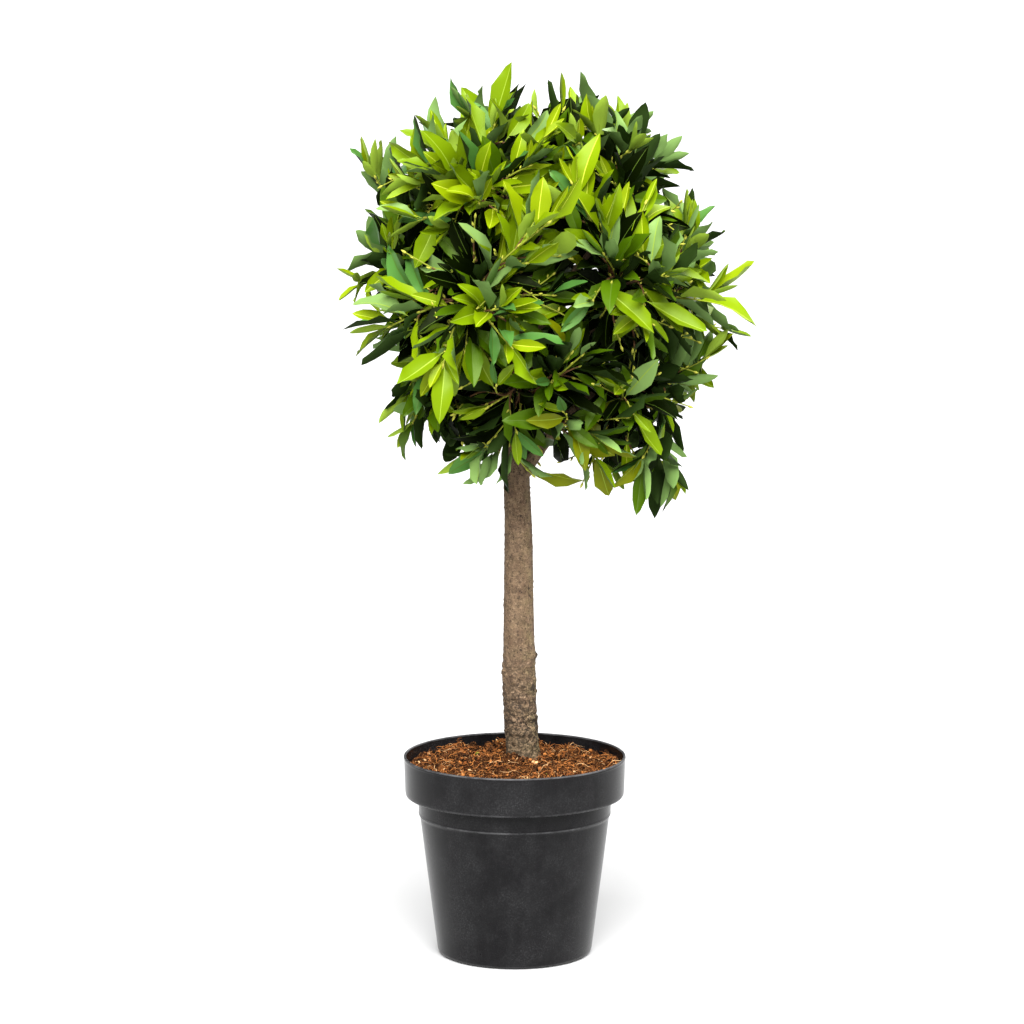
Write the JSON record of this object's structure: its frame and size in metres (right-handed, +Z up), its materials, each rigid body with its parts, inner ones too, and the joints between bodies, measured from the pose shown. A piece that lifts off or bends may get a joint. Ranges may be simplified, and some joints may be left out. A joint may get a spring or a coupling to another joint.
{
  "type": "potted bay topiary",
  "caption": "Standard bay topiary: a straight bare trunk carrying a loose ball of pointed green leaves, growing in a round tapered plastic plant pot filled with soil.",
  "frame": {"origin": "centre of the pot's flat underside", "axes": "+Z up along the pot's axis, -Y towards the side the plant is usually seen from, +X to the right of that side"},
  "size_m": [0.5409, 0.5364, 1.1274],
  "materials": {
    "pot": "satin",
    "soil": "matte",
    "bark": "matte",
    "leaf_low": "satin",
    "leaf_middle": "satin",
    "leaf_high": "satin"
  },
  "bodies": {
    "root": {"pot": "pot", "soil": "soil", "trunk": "bark", "bough_lower_right": "bark", "bough_lower_back": "bark", "bough_lower_left": "bark", "bough_lower_front": "bark", "bough_middle_right": "bark", "bough_middle_back": "bark", "bough_middle_left": "bark", "bough_middle_front_left": "bark", "bough_middle_front_right": "bark", "bough_upper_right": "bark", "bough_upper_back": "bark", "bough_upper_left": "bark", "mass_lower_right": "leaf_low", "mass_lower_back": "leaf_low", "mass_lower_left": "leaf_low", "mass_lower_front": "leaf_low", "mass_middle_right": "leaf_middle", "mass_middle_back": "leaf_middle", "mass_middle_left": "leaf_middle", "mass_middle_front_left": "leaf_middle", "mass_middle_front_right": "leaf_middle", "mass_upper_right": "leaf_high", "mass_upper_back": "leaf_high", "mass_upper_left": "leaf_high", "mass_top": "leaf_high"}
  },
  "joints": []
}
